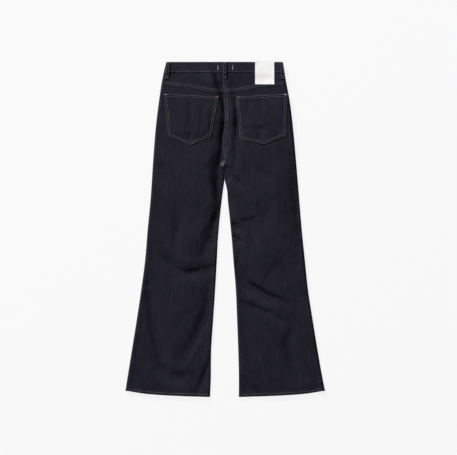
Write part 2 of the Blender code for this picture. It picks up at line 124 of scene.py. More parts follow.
SEAT_SEAM = table(
    "y x",
    (536, -2.1), (438, -1.4), (387, 3.4), (358, 4.3), (302, -1.4), (254, -2.4), (233, 0.8),
    (210, -7.4), (200, -8.8), (158, -2.0),
)
FRONT_SEAM = table("y x", (536, 1.0), (330, 0.5), (250, -4.0), (200, -8.8), (158, -2.0))

YOKE_SEAM = table(
    "across y",
    (0.0, 442.0), (0.15, 444.5), (0.3, 449.5), (0.45, 455.5), (0.6, 460.5), (0.8, 464.0),
    (1.0, 467.5),
)
HEM = table("across y", (0.0, -536.0), (0.36, -533.0), (0.6, -529.7), (0.83, -524.3), (1.0, -516.9))

POCKETS = {  # top outer or inner corner on the left, down round the point, to the top corner on the right
    "left": [(-196.0, 434.2), (-183.4, 298.9), (-112.0, 269.3), (-45.3, 296.8), (-19.7, 425.5)],
    "right": [(35.1, 425.5), (45.1, 291.9), (122.4, 271.0), (194.0, 298.9), (199.4, 434.2)],
}
Patch = namedtuple("Patch", "x0 x1 y0 y1")
LABEL = Patch(95.5, 156.6, 464.3, 535.5)
Loop = namedtuple("Loop", "top bottom")
BACK_LOOPS = {
    "centre_back": Loop(-2.0, -2.0),
    "side_left": Loop(-182.6, -187.4),
    "side_right": Loop(178.4, 183.8),
}
FRONT_LOOPS = {"front_left": Loop(-96.0, -96.0), "front_right": Loop(96.0, 96.0)}

# ---- how the cloth lies

BASE = table(
    "y z",
    (536, 11.0), (460, 12.2), (400, 13.0), (300, 13.0), (200, 12.2), (60, 11.0), (-100, 10.2),
    (-350, 9.4), (-536, 7.6),
)
# broad soft swellings
DOMES = table(
    "x y wide high z",
    (-108, 362, 78, 95, 4.0),
    (170, 356, 74, 95, 4.0),
    (-112, 170, 72, 110, 4.0),
    (172, 150, 78, 130, 5.0),
    (-120, -30, 66, 80, 3.0),
    (150, -60, 78, 80, 3.6),
    (-146, -235, 62, 95, 3.4),
    (150, -340, 70, 90, 3.0),
    (-200, -490, 80, 60, 1.6),
    (180, -470, 80, 70, 1.4),
    (-12, 510, 84, 60, 3.6),
)

# A crease is a trough (height below 0) or a ridge along a path. It is as wide as its first width on the
# left of the path's direction, and as its second width on the right. Paths run down, or from left to right.
CREASES = table(
    "height left right path",
    # seat, yoke and pockets: the troughs on both sides of the seat seam, the ridges beside them, and the
    # pit at the crotch
    (-12.0, 11, 12, [(-44, 530), (-27, 496), (-11, 464), (-3, 428), (1, 380), (1, 330), (-3, 276)]),
    (-8.0, 12, 12, [(-28, 502), (-17, 482), (-9, 454)]),
    (5.0, 11, 20, [(-52, 512), (-41, 488), (-32, 456)]),
    (2.2, 9, 6, [(-1, 480), (0, 438), (4, 390), (5, 350), (0, 300), (-1, 262), (-1, 222)]),
    (6.0, 8, 7, [(-1, 258), (-1, 234), (-6, 212), (-7, 200)]),
    (-8.0, 24, 11, [(20, 456), (34, 410), (39, 370), (38, 320), (34, 282), (31, 250)]),
    (-2.8, 14, 10, [(31, 262), (29, 220), (26, 172)]),
    (-24.0, 12, 10, [(4, 191), (3, 178), (1, 164)]),
    (-5.4, 8, 14, [(8, 180), (30, 163), (54, 138)]),
    (-2.4, 9, 16, [(104, 200), (130, 179), (158, 150)]),
    (-3.4, 16, 10, [(-116, 430), (-111, 380), (-113, 328)]),
    (-2.6, 7, 5, [(-112, 312), (-113, 282)]),
    (-2.4, 7, 5, [(110, 318), (112, 288)]),
    (-2.2, 7, 14, [(40, 334), (60, 322), (84, 326)]),
    (-2.0, 8, 14, [(92, 316), (112, 324), (134, 314)]),
    (-2.4, 16, 12, [(78, 420), (70, 372), (76, 340)]),
    (1.6, 12, 12, [(-60, 410), (-52, 360), (-66, 310)]),
    # the wearer's left leg
    (-12.0, 12, 15, [(-2, 330), (-3, 280), (-5, 240), (-10, 200)]),
    (-14.0, 24, 20, [(-12, 222), (-17, 190), (-17, 160), (-14, 126), (-7, 88), (-8, 60), (-20, 30)]),
    (6.0, 17, 60, [(-52, 300), (-52, 250), (-60, 200), (-54, 150), (-45, 94), (-44, 60), (-60, 20)]),
    (6.5, 6, 5, [(-8, 208), (-9, 184), (-11, 156), (-15, 122)]),
    (-4.8, 38, 17, [(-20, 60), (-36, 6), (-60, -52), (-80, -108)]),
    (-2.4, 34, 14, [(-26, 60), (-34, 0), (-48, -60)]),
    (-4.0, 20, 12, [(-158, 62), (-158, 0), (-158, -60), (-156, -98)]),
    (-6.2, 12, 22, [(-206, -52), (-168, -112), (-127, -139), (-98, -137), (-70, -128), (-33, -120)]),
    (1.4, 12, 16, [(-178, -58), (-138, -96), (-98, -98), (-48, -88)]),
    (-6.8, 26, 19, [
        (-46, -140), (-50, -194), (-52, -226), (-63, -276), (-84, -328), (-112, -378), (-146, -424)
    ]),
    (1.4, 9, 10, [(-50, -300), (-72, -348), (-94, -390), (-120, -430)]),
    (-8.0, 22, 14, [(-246, -180), (-242, -212), (-233, -270), (-223, -330), (-210, -390), (-198, -440)]),
    (-7.0, 16, 24, [(-216, -424), (-190, -458), (-160, -473), (-112, -470)]),
    (-5.2, 20, 9, [(-44, -400), (-58, -447), (-75, -492), (-94, -530)]),
    # the wearer's right leg
    (-6.4, 8, 14, [(12, 26), (32, 10), (50, -8)]),
    (-6.4, 8, 14, [(14, -12), (34, -28), (54, -46)]),
    (-2.8, 9, 18, [(50, 24), (76, 28), (104, 40)]),
    (-6.0, 7, 16, [(22, -88), (42, -116), (62, -150)]),
    (-3.0, 18, 10, [(66, 12), (84, -14), (101, -48)]),
    (-7.6, 10, 24, [(22, -88), (40, -114), (54, -139), (70, -166), (99, -188), (138, -211), (180, -226)]),
    (4.0, 34, 10, [(34, -84), (50, -108), (64, -133), (81, -159), (107, -178), (144, -201), (184, -216)]),
    (-4.2, 12, 22, [(40, -222), (68, -238), (105, -252), (143, -269), (176, -288)]),
    (2.6, 26, 9, [(44, -212), (72, -228), (109, -242), (147, -259), (180, -278)]),
    (-8.0, 9, 20, [(30, -420), (45, -458), (63, -488), (90, -522)]),
    (4.0, 26, 8, [(40, -415), (55, -453), (73, -483), (98, -516)]),
    (-11.0, 12, 21, [(219, 236), (228, 196), (236, 110), (242, 30), (248, -40)]),
    (-2.0, 20, 13, [(166, -104), (150, -134), (132, -162)]),
    (-4.4, 24, 18, [(216, -300), (202, -372), (218, -420), (240, -468)]),
    (-2.4, 18, 14, [(150, 90), (128, 20), (132, -40)]),
)
# the front lifts off the floor along these, seen from below
UNDER_CREASES = table(
    "height left right path",
    (1.0, 12, 14, [(-60, 330), (-120, 300), (-170, 290)]),
    (1.0, 12, 12, [(60, 320), (118, 296), (176, 292)]),
    (1.0, 9, 12, [(-30, 150), (-70, 110), (-110, 96)]),
    (1.0, 9, 12, [(26, 150), (66, 118), (120, 92)]),
    (1.1, 14, 11, [(-60, -96), (-120, -128), (-200, -118)]),
    (1.1, 12, 12, [(60, -70), (120, -112), (190, -126)]),
    (0.9, 12, 14, [(-90, -240), (-150, -300), (-230, -320)]),
    (0.9, 12, 14, [(90, -260), (160, -290), (236, -350)]),
)

FRONT_BUMPS = table("x height width", (BUTTON_X, 2.6, 46.0), (-96.0, 3.0, 44.0), (96.0, 3.0, 44.0))
BUMP_FADE = (462.0, 395.0)

# ---- curves and surfaces


def curve(xs, ys):
    """A smooth function through the points (xs, ys), level past its ends, for arrays."""
    order = np.argsort(xs)
    known, value = np.asarray(xs, float)[order], np.asarray(ys, float)[order]
    slope = np.gradient(value, known)

    def at(x):
        x = np.clip(x, known[0], known[-1])
        i = np.clip(np.searchsorted(known, x) - 1, 0, len(known) - 2)
        step = known[i + 1] - known[i]
        t = (x - known[i]) / step
        rise = t * t * (3 - 2 * t)
        bend = slope[i] * (t - 2 * t**2 + t**3) + slope[i + 1] * (t**3 - t**2)
        return value[i] + (value[i + 1] - value[i]) * rise + step * bend

    return at


def table_curve(rows, x_name, y_name):
    return curve([getattr(row, x_name) for row in rows], [getattr(row, y_name) for row in rows])


def ease(start, end, x):
    """0 before start, 1 after end, and smooth between them; end may be below start."""
    t = np.clip((x - start) / (end - start), 0.0, 1.0)
    return t * t * (3 - 2 * t)


OUT = {side: table_curve(OUTSEAMS, "y", side) for side in SIDES}
IN = {side: table_curve(INSEAMS, "y", side) for side in SIDES}
SEAM_AT = {"back": table_curve(SEAT_SEAM, "y", "x"), "front": table_curve(FRONT_SEAM, "y", "x")}
AWAY = {"left": -1.0, "right": 1.0}
yoke_y = table_curve(YOKE_SEAM, "across", "y")
hem_y = table_curve(HEM, "across", "y")
base_z = table_curve(BASE, "y", "z")


def ripple(x, y, size, seed):
    """Smooth noise between -1 and 1, in bumps about size apart, across and along."""
    count = 64
    grid = np.random.default_rng(seed).uniform(-1, 1, (count, count))
    u, v = x / size[0] + 0.31 * y / size[1], y / size[1] - 0.23 * x / size[0]
    i, j = np.floor(u).astype(int), np.floor(v).astype(int)
    s, t = u - i, v - j
    s, t = s**3 * (s * (s * 6 - 15) + 10), t**3 * (t * (t * 6 - 15) + 10)

    def corner(a, b):
        return grid[(i + a) % count, (j + b) % count]

    upper = corner(0, 0) * (1 - s) + corner(1, 0) * s
    return upper * (1 - t) + (corner(0, 1) * (1 - s) + corner(1, 1) * s) * t


def rounded(path, per_part=5):
    """More points along a path, so that it bends smoothly through its own points."""
    points = np.asarray(path, float)
    if len(points) < 3:
        return points
    run = np.concatenate([[0], np.cumsum(np.hypot(*np.diff(points, axis=0).T))])
    at = np.linspace(0, run[-1], per_part * (len(points) - 1) + 1)
    return np.stack([curve(run, points[:, 0])(at), curve(run, points[:, 1])(at)], -1)


def near_path(x, y, points):
    """The signed distance to a path, + on its left, and the share of its length at the nearest point."""
    parts = np.diff(points, axis=0)
    lengths = np.hypot(parts[:, 0], parts[:, 1])
    total, run = lengths.sum(), 0.0
    best = np.full(x.shape, 1e9)
    sign, share = np.ones(x.shape), np.zeros(x.shape)
    for (ax, ay), (ux, uy), length in zip(points, parts / lengths[:, None], lengths):
        along = np.clip((x - ax) * ux + (y - ay) * uy, 0.0, length)
        dx, dy = x - ax - along * ux, y - ay - along * uy
        distance = np.hypot(dx, dy)
        nearer = distance < best
        best = np.where(nearer, distance, best)
        sign = np.where(nearer, np.where(ux * dy - uy * dx >= 0, 1.0, -1.0), sign)
        share = np.where(nearer, (run + along) / total, share)
        run += length
    return best * sign, share


def creased(x, y, creases):
    """The sum of the creases' heights. Each wavers a little in its depth, and runs out at its ends."""
    total = np.zeros(x.shape)
    for number, crease in enumerate(creases):
        points = rounded(crease.path)
        reach = 3.5 * max(crease.left, crease.right)
        near = (x > points[:, 0].min() - reach) & (x < points[:, 0].max() + reach)
        near &= (y > points[:, 1].min() - reach) & (y < points[:, 1].max() + reach)
        if not near.any():
            continue
        px, py = x[near], y[near]
        away, share = near_path(px, py, points)
        taper = np.sqrt(np.sin(math.pi * np.clip(share, 0.04, 0.96)))
        waver = 1 + 0.22 * ripple(px, py, (30, 30), 100 + number)
        width = np.where(away > 0, crease.left, crease.right)
        total[near] += crease.height * taper * waver * np.exp(-((away / width) ** 2))
    return total


def crotch_drop(y):
    """1 where a panel's inner edge is an inseam, rolled down as the side seams are; 0 at a flat seam."""
    return ease(CROTCH + CROTCH_FADE, CROTCH, y)


def seat_lap(y):
    """How far left of the seat seam's middle the two back panels meet."""
    return SEAM_LAP * ease(172, 214, y)


def inner_x(side, face, y):
    seam = SEAM_AT[face](y) + AWAY[side] * GAP / 2 - (seat_lap(y) if face == "back" else 0.0)
    return np.where(y >= APEX, seam, IN[side](y))


def front_z(x, y):
    """Height of the front's lower face above the floor."""
    fade = ease(BUMP_FADE[1], BUMP_FADE[0], y)
    bumps = [bump.height * np.exp(-(((x - bump.x) / bump.width) ** 2)) for bump in FRONT_BUMPS]
    lift = np.maximum(creased(x, y, UNDER_CREASES), 0) + 0.12 * (1 + ripple(x, y, (26, 38), 7))
    return UNDER + fade * np.maximum.reduce(bumps) + lift * (1 - fade)


def edge_distances(x, y, side):
    """How far a place on the back lies from the side seam, and from the inseam where there is one."""
    from_side = np.abs(OUT[side](y) - x)
    from_inner = np.abs(x - inner_x(side, "back", y)) + (1 - crotch_drop(y)) * 1000.0
    return from_side, from_inner


def back_z(x, y):
    """Height of the back's upper face, before it rolls down at its edges."""
    x, y = np.broadcast_arrays(np.asarray(x, float), np.asarray(y, float))
    right = x >= SEAM_AT["back"](y) - seat_lap(y)
    sides = [edge_distances(x, y, side) for side in SIDES]
    from_side = np.where(right, sides[1][0], sides[0][0])
    from_inner = np.where(right, sides[1][1], sides[0][1])
    nearest = np.minimum(from_side, from_inner)
    dome = sum(
        d.z * np.exp(-(((x - d.x) / d.wide) ** 2) - ((y - d.y) / d.high) ** 2) for d in DOMES
    )
    broad = ripple(x, y, (58, 84), 3) + 0.5 * ripple(x, y, (27, 44), 4)
    fine = ripple(x, y, (13, 19), 5) + 0.6 * ripple(x, y, (7, 10), 6)
    loose = dome + creased(x, y, CREASES) + 0.75 * broad
    z = base_z(y) + loose * ease(-14, 12, nearest) + 0.2 * fine
    # the allowances folded inside the side seams and inseams, puckered by their own stitches
    seam = np.exp(-(((nearest - 7) / 8) ** 2))
    z = z + seam * (1.0 + 0.42 * np.sin(y * (2 * math.pi / 13) + 3 * ripple(x, y, (30, 22), 8)))
    # the felled seat seam
    off = x - SEAM_AT["back"](y)
    pucker = np.sin(y * (2 * math.pi / 9) + 2.5 * ripple(x, y, (40, 18), 9))
    z = z + ease(204, 232, y) * np.where(right, SEAM_LIFT * ease(8, 5.2, off), 0.0)
    z = z + 0.4 * pucker * np.exp(-((off / 9) ** 2)) * ease(204, 232, y)
    # the yoke seam
    across = np.clip(np.abs(off) / 200.0, 0, 1)
    from_yoke = y - yoke_y(across)
    pucker = np.sin(x * (2 * math.pi / 8) + 2.5 * ripple(x, y, (18, 40), 10))
    z = z + 0.32 * pucker * np.exp(-((from_yoke / 8) ** 2))
    # the front waistband's thicker cloth and its doubled ends lie under the back
    banded = ease(464, 476, y) * (BAND_WALL - DENIM)
    doubled = ease(464, 478, y) * ease(-66, -50, x) * ease(66, 50, x) * (BAND_WALL + GAP)
    floor = front_z(x, y) + LOWEST + banded + doubled
    return floor + 0.5 * ((z - floor) + np.sqrt((z - floor) ** 2 + 0.6))


# ---- meshes


def shell(name, outer, inner, looks, keep=None, sharp=48):
    """A closed wall between two grids of points. looks: the outside's, and the inside's if it has one."""
    rows, columns = outer.shape[:2]
    count = rows * columns
    at = np.arange(count).reshape(rows, columns)
    quads = np.stack([at[:-1, :-1], at[1:, :-1], at[1:, 1:], at[:-1, 1:]], -1)
    quads = quads.reshape(-1, 4) if keep is None else quads[keep]
    flat = outer.reshape(-1, 3)
    normal = np.cross(flat[quads[:, 1]] - flat[quads[:, 0]], flat[quads[:, 3]] - flat[quads[:, 0]])
    if (normal * (outer - inner).reshape(-1, 3)[quads[:, 0]]).sum() < 0:
        quads = quads[:, ::-1]
    edges = quads[:, [[0, 1], [1, 2], [2, 3], [3, 0]]].reshape(-1, 2)
    code = edges.min(1) * count + edges.max(1)
    _, first, shared = np.unique(code, return_index=True, return_counts=True)
    rim = edges[first[shared == 1]]
    walls = np.stack([rim[:, 1], rim[:, 0], rim[:, 0] + count, rim[:, 1] + count], -1)
    faces = np.concatenate([quads, walls, quads[:, ::-1] + count])
    inside = np.concatenate([np.zeros(len(quads) + len(walls), int), np.ones(len(quads), int)])
    points = np.concatenate([flat, inner.reshape(-1, 3)])
    used, faces = np.unique(faces, return_inverse=True)
    made = mesh_object(name, points[used], faces.reshape(-1, 4).tolist(), looks)
    if len(looks) > 1:
        made.data.polygons.foreach_set("material_index", inside)
    made.data.set_sharp_from_angle(angle=math.radians(sharp))
    return made


def in_scene(name, data):
    made = bpy.data.objects.new(name, data)
    bpy.context.scene.collection.objects.link(made)
    return made


def mesh_object(name, points, faces, looks):
    data = bpy.data.meshes.new(name)
    data.from_pydata((points * MM).tolist(), [], faces)
    data.polygons.foreach_set("use_smooth", np.ones(len(data.polygons), bool))
    for look in looks:
        data.materials.append(look)
    data.update()
    return in_scene(name, data)


def along(path, step):
    """Points at even steps along a path of any number of coordinates."""
    points = np.asarray(path, float)
    run = np.concatenate([[0], np.cumsum(np.linalg.norm(np.diff(points, axis=0), axis=1))])
    at = np.linspace(0, run[-1], max(round(run[-1] / step), 1) + 1)
    return np.stack([np.interp(at, run, points[:, k]) for k in range(points.shape[1])], -1)


BEAD_SIDES = 5
BEAD = [(0.07, 0.3), (0.24, 0.95), (0.76, 0.95), (0.93, 0.3)]  # share of a stitch, and of its radius


def beads(name, rows, look, radius=THREAD, up=1.0):
    """Threads: one bead between each two points of every row, sunk a little at its ends."""
    starts = np.concatenate([row[:-1] for row in rows])
    ends = np.concatenate([row[1:] for row in rows])
    way = ends - starts
    side = np.cross(way, (0, 0, up))
    side /= np.linalg.norm(side, axis=1, keepdims=True)
    high = np.cross(side, way)
    high /= np.linalg.norm(high, axis=1, keepdims=True)
    turns = np.linspace(0, 2 * math.pi, BEAD_SIDES, endpoint=False)
    rings = []
    for share, size in BEAD:
        middle = starts + way * share + high * radius * (0.25 if 0.2 < share < 0.8 else -0.35)
        ring = [middle + radius * size * (math.cos(t) * side + math.sin(t) * high) for t in turns]
        rings.append(np.stack(ring, 1))
    points = np.stack(rings, 1)  # stitch, ring, turn, xyz
    faces = []
    for ring in range(len(BEAD) - 1):
        for turn in range(BEAD_SIDES):
            after = (turn + 1) % BEAD_SIDES
            a, b = ring * BEAD_SIDES + turn, ring * BEAD_SIDES + after
            faces.append((a, b, b + BEAD_SIDES, a + BEAD_SIDES))
    last = (len(BEAD) - 1) * BEAD_SIDES
    caps = [tuple(range(BEAD_SIDES - 1, -1, -1)), tuple(range(last, last + BEAD_SIDES))]
    size = len(BEAD) * BEAD_SIDES
    shift = np.arange(len(starts)) * size
    quads = (np.asarray(faces)[None] + shift[:, None, None]).reshape(-1, 4).tolist()
    ends_of = (np.asarray(caps)[None] + shift[:, None, None]).reshape(-1, BEAD_SIDES).tolist()
    return mesh_object(name, points.reshape(-1, 3), quads + ends_of, (look,))


def on(surface, path, step=STITCH):
    """A path in X and Y, in even steps, laid on a surface."""
    points = along(path, step)
    return np.column_stack([points, surface(points[:, 0], points[:, 1])])


# ---- materials


def add(tree, kind, inputs=None, **settings):
    made = tree.nodes.new(kind)
    for key, value in settings.items():
        setattr(made, key, value)
    for key, value in (inputs or {}).items():
        if isinstance(value, bpy.types.NodeSocket):
            tree.links.new(value, made.inputs[key])
        else:
            made.inputs[key].default_value = value
    return made


def new_look(name, roughness=0.5):
    look = bpy.data.materials.new(name)
    look.use_nodes = True
    shader = look.node_tree.nodes["Principled BSDF"]
    shader.inputs["Roughness"].default_value = roughness
    return look, look.node_tree, shader


def scaled(tree, scale=(1, 1, 1), turn=0.0):
    """The object's own coordinates in metres, turned about Z and then scaled."""
    place = add(tree, "ShaderNodeTexCoord")
    turned = add(tree, "ShaderNodeMapping", {"Vector": place.outputs["Object"], "Rotation": (0, 0, turn)})
    return add(tree, "ShaderNodeMapping", {"Vector": turned.outputs[0], "Scale": scale}).outputs[0]


def noise(tree, scale, detail, place=None):
    """Noise on the object's own coordinates, or on a given place."""
    place = scaled(tree) if place is None else place
    return add(tree, "ShaderNodeTexNoise", {"Vector": place, "Scale": scale, "Detail": detail}).outputs[0]


def tint(tree, colour, tone):
    return add(tree, "ShaderNodeVectorMath", {0: colour, 3: tone}, operation="SCALE").outputs[0]


def fac(tree, value, low, high):
    """Spread a texture's 0.3 to 0.7 over low to high."""
    inputs = {"Value": value, "From Min": 0.3, "From Max": 0.7, "To Min": low, "To Max": high}
    return add(tree, "ShaderNodeMapRange", inputs).outputs[0]


def combine(tree, a, b, operation="MULTIPLY"):
    """The product of two values, or their sum with ADD."""
    return add(tree, "ShaderNodeMath", {0: a, 1: b}, operation=operation).outputs[0]


def denim_look(name, colour, weft, warp_turn=0.0, weft_share=0.10):
    """Indigo twill: streaks of uneven yarn along the warp, diagonal ribs, and cloudy dye."""
    look, tree, shader = new_look(name, 0.86)
    slub = noise(tree, 1.0, 2.0, scaled(tree, (760, 14, 760), warp_turn))
    long_slub = noise(tree, 1.0, 2.0, scaled(tree, (260, 5, 260), warp_turn))
    cloud = noise(tree, 26.0, 4.0)
    grain = noise(tree, 520.0, 3.0)
    wave = {"Scale": 380.0, "Distortion": 1.6, "Detail": 1.0, "Detail Scale": 2.0}
    slanted = scaled(tree, turn=warp_turn + math.radians(28))
    ribs = add(tree, "ShaderNodeTexWave", {"Vector": slanted, **wave})
    tone = combine(tree, fac(tree, slub, 0.7, 1.3), fac(tree, cloud, 0.86, 1.14))
    tone = combine(tree, tone, fac(tree, long_slub, 0.9, 1.1))
    dyed = tint(tree, colour, combine(tree, tone, fac(tree, grain, 0.62, 1.38)))
    share = combine(tree, ribs.outputs["Fac"], weft_share)
    mixed = add(tree, "ShaderNodeMix", {0: share, 6: dyed, 7: (*weft, 1)}, data_type="RGBA")
    height = combine(tree, combine(tree, ribs.outputs["Fac"], 0.6), combine(tree, slub, 0.9), "ADD")
    bump = add(tree, "ShaderNodeBump", {"Strength": 0.5, "Distance": 0.00022, "Height": height})
    tree.links.new(mixed.outputs[2], shader.inputs["Base Color"])
    tree.links.new(bump.outputs[0], shader.inputs["Normal"])
    shader.inputs["Specular IOR Level"].default_value = 0.02
    shader.inputs["Sheen Weight"].default_value = 0.01
    shader.inputs["Sheen Roughness"].default_value = 0.5
    return look


def thread_look(name, colour):
    look, tree, shader = new_look(name, 0.6)
    twist = noise(tree, 420.0, 2.0)
    tree.links.new(tint(tree, colour, fac(tree, twist, 0.72, 1.25)), shader.inputs["Base Color"])
    shader.inputs["Specular IOR Level"].default_value = 0.25
    return look


def label_look(colour):
    """A smooth white patch with a fine grain and slightly uneven white."""
    look, tree, shader = new_look("label_white", 0.55)
    grain = add(tree, "ShaderNodeTexVoronoi", {"Vector": scaled(tree), "Scale": 900.0})
    cloud = noise(tree, 40.0, 3.0)
    tinted = tint(tree, colour, fac(tree, cloud, 0.975, 1.0))
    bump = add(tree, "ShaderNodeBump", {"Strength": 0.25, "Distance": 0.0001, "Height": grain.outputs[0]})
    tree.links.new(tinted, shader.inputs["Base Color"])
    tree.links.new(bump.outputs[0], shader.inputs["Normal"])
    shader.inputs["Specular IOR Level"].default_value = 0.3
    return look


def metal_look(colour):
    look, tree, shader = new_look("button_metal_aged")
    wear = noise(tree, 600.0, 5.0)
    tree.links.new(tint(tree, colour, fac(tree, wear, 0.75, 1.2)), shader.inputs["Base Color"])
    tree.links.new(fac(tree, wear, 0.28, 0.5), shader.inputs["Roughness"])
    shader.inputs["Metallic"].default_value = 1.0
    return look


INDIGO = (0.0150, 0.0144, 0.0222)
WEFT = (0.05, 0.05, 0.058)
denim = denim_look("denim_indigo", INDIGO, WEFT)
denim_band = denim_look("denim_indigo_band", tuple(1.1 * c for c in INDIGO), WEFT, warp_turn=math.pi / 2)
denim_inside = denim_look("denim_inside", (0.10, 0.105, 0.125), (0.2, 0.2, 0.22), weft_share=0.4)
thread = thread_look("thread_grey", (0.17, 0.167, 0.178))
thread_white = thread_look("thread_white", (0.62, 0.62, 0.62))
thread_tan = thread_look("thread_tan", (0.24, 0.17, 0.12))
thread_warm = thread_look("thread_warm_grey", (0.185, 0.168, 0.148))
white_patch = label_look((0.88, 0.875, 0.86))
aged_metal = metal_look((0.42, 0.30, 0.20))
CLOTH = (denim, denim_inside)

# ---- the pieces


def dress(piece, node=None):
    if node:
        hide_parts(node)
    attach(piece, "root")
    return piece


def cloth(node, outer, inner, looks=CLOTH, keep=None):
    return dress(shell(f"cloth_{node}", outer, inner, looks, keep), node)


def columns(count, roll_steps=6, inner_roll=True):
    """Across the flat stretch, which edge a column rolls at (-1 inner, 1 outer, 0 none), and its angle."""
    angles = np.radians(np.linspace(0, 90, roll_steps, endpoint=False))
    start = angles if inner_roll else angles[:0]
    across = np.concatenate([np.zeros(len(start)), np.linspace(0, 1, count), np.ones(len(angles))])
    edge = np.concatenate([-np.ones(len(start)), np.zeros(count), np.ones(len(angles))])
    angle = np.concatenate([start, np.full(count, math.pi / 2), angles[::-1]])
    return across, edge, angle


def panel(side, face, y, cols, roll, inner_roll=True, outer_x=None):
    """Outer points of a panel's grid, and the unit vectors to its inner face. y: rows by columns."""
    across, edge, angle = (np.broadcast_to(c, y.shape) for c in cols)
    away = AWAY[side]
    first = inner_x(side, face, y)
    last = OUT[side](y) if outer_x is None else outer_x
    start = first + away * roll * (1.0 if inner_roll else 0.0)
    x = start + (last - away * roll - start) * across
    x = np.where(edge < 0, first + away * roll * (1 - np.cos(angle)), x)
    x = np.where(edge > 0, last - away * roll * (1 - np.cos(angle)), x)
    drop = np.where(edge < 0, crotch_drop(y), np.where(edge > 0, 1.0, 0.0))
    turn = np.where(edge < 0, away, -away)
    tilt = math.pi / 2 - drop * (math.pi / 2 - angle)
    if face == "back":
        z = back_z(x, y)
        z = z - drop * (z - MID - GAP / 2) * (1 - np.sin(angle))
        way = -1.0
    else:
        z = front_z(x, y)
        z = z + drop * (MID - GAP / 2 - z) * (1 - np.sin(angle))
        way = 1.0
    inward = np.stack([turn * np.cos(tilt), np.zeros(y.shape), way * np.sin(tilt)], -1)
    return np.stack([x, y, z], -1), inward


def leg_y(top, across, share):
    bottom = hem_y(across)[None]
    return top[None] * (1 - share[:, None]) + bottom * share[:, None]


def back_leg(side):
    cols = columns(62)
    top = yoke_y(cols[0]) - YOKE_LAP - GAP / 2
    y = leg_y(top, cols[0], np.linspace(0, 1, 322))
    points, inward = panel(side, "back", y, cols, BACK_ROLL)
    above_hem = y - hem_y(cols[0])[None]
    hem = ease(HEM_DEPTH + 2.5, HEM_DEPTH - 1.5, above_hem)
    roping = np.sin(points[..., 0] * (2 * math.pi / 10) + above_hem * 0.5)
    flat = cols[1][None] == 0
    points[..., 2] += np.where(flat, hem * (0.9 + 0.35 * roping * ease(0, 3, above_hem)), 0.0)
    wall = DENIM + hem * 0.9 * flat
    return cloth(f"back_leg_{side}", points, points + inward * wall[..., None])


def yoke(side):
    cols = columns(58, inner_roll=False)
    top, bottom = WAIST_SEAM - GAP / 2, yoke_y(cols[0]) - YOKE_LAP + GAP / 2
    share = np.concatenate([np.linspace(0, 0.85, 12), np.linspace(0.87, 1, 8)])
    y = top + (bottom - top)[None] * share[:, None]
    points, inward = panel(side, "back", y, cols, BACK_ROLL, inner_roll=False)
    lifted = ease(bottom[None] + 10, bottom[None] + 7.5, y) * np.sin(cols[2])[None]
    points[..., 2] += SEAM_LIFT * lifted
    wall = np.full(y.shape, DENIM) + 0.6 * lifted
    return cloth(f"yoke_{side}", points, points + inward * wall[..., None])


def pocket_place(corners, u, v):
    """A place on a pocket: u across from its left, v down from its top edge."""
    tl, bl, tip, br, tr = (np.array(c) for c in corners)
    middle = (tip[0] - bl[0]) / (br[0] - bl[0])
    u, v = u[..., None], v[..., None]
    before = bl + (tip - bl) * (u / middle)
    low = np.where(u < middle, before, tip + (br - tip) * ((u - middle) / (1 - middle)))
    top = tl + (tr - tl) * u
    return top + (low - top) * v


def to_edges(corners, x, y):
    """Distance inwards to the nearest side of a pocket, and to its top edge."""
    ring = list(corners)
    best, top = np.full(x.shape, 1e9), None
    for (ax, ay), (bx, by) in zip(ring, ring[1:] + ring[:1]):
        away = ((bx - ax) * (y - ay) - (by - ay) * (x - ax)) / math.hypot(bx - ax, by - ay)
        best = np.minimum(best, away)
        top = away
    return best, top


def pocket_z(side, x, y):
    """Height of a pocket's upper face."""
    inside, top = to_edges(POCKETS[side], x, y)
    puff = 0.9 * ease(8, 40, inside)
    rim = 0.45 * ease(0.0, 2.2, inside)
    mouth = 0.7 * ease(11.5, 9.5, top)
    outer, inner = POCKET_ROWS
    pinch = -0.28 * np.exp(-(((inside - outer) / 0.9) ** 2)) - 0.28 * np.exp(-(((inside - inner) / 1.0) ** 2))
    pucker = 0.22 * np.sin((x + y) * (2 * math.pi / 7)) * np.exp(-(((inside - 9) / 6) ** 2))
    return back_z(x, y) + GAP + DENIM + rim + mouth + puff + (pinch + pucker) * ease(0.3, 1.5, inside)


def pocket(side):
    u, v = np.meshgrid(np.linspace(0, 1, 66), np.linspace(0, 1, 56))
    u, v = (at - 0.35 * np.sin(2 * math.pi * at) / (2 * math.pi) for at in (u, v))  # closer at the edges
    place = pocket_place(POCKETS[side], u, v)
    z = pocket_z(side, place[..., 0], place[..., 1])
    outer = np.dstack([place, z])
    inner = np.dstack([place, back_z(place[..., 0], place[..., 1]) + GAP])
    inner[..., 2] = np.maximum(inner[..., 2], z - 2.0)
    return cloth(f"back_pocket_{side}", outer, inner)


def front_waist(across):
    return TOP - FRONT_DIP * np.cos(math.pi / 2 * np.minimum(np.abs(across), 1.0)) ** 2


def scoop_x(side, y, extra=0.0):
    """The inner limit of the pocket mouth's oval at a height, and the side seam below it."""
    centre = OUT[side](WAIST_SEAM)
    wide, deep = POCKET_MOUTH[0] + extra, POCKET_MOUTH[1] + extra
    share = np.clip((WAIST_SEAM - y) / deep, 0, 1)
    return centre - AWAY[side] * wide * np.sqrt(1 - share**2)


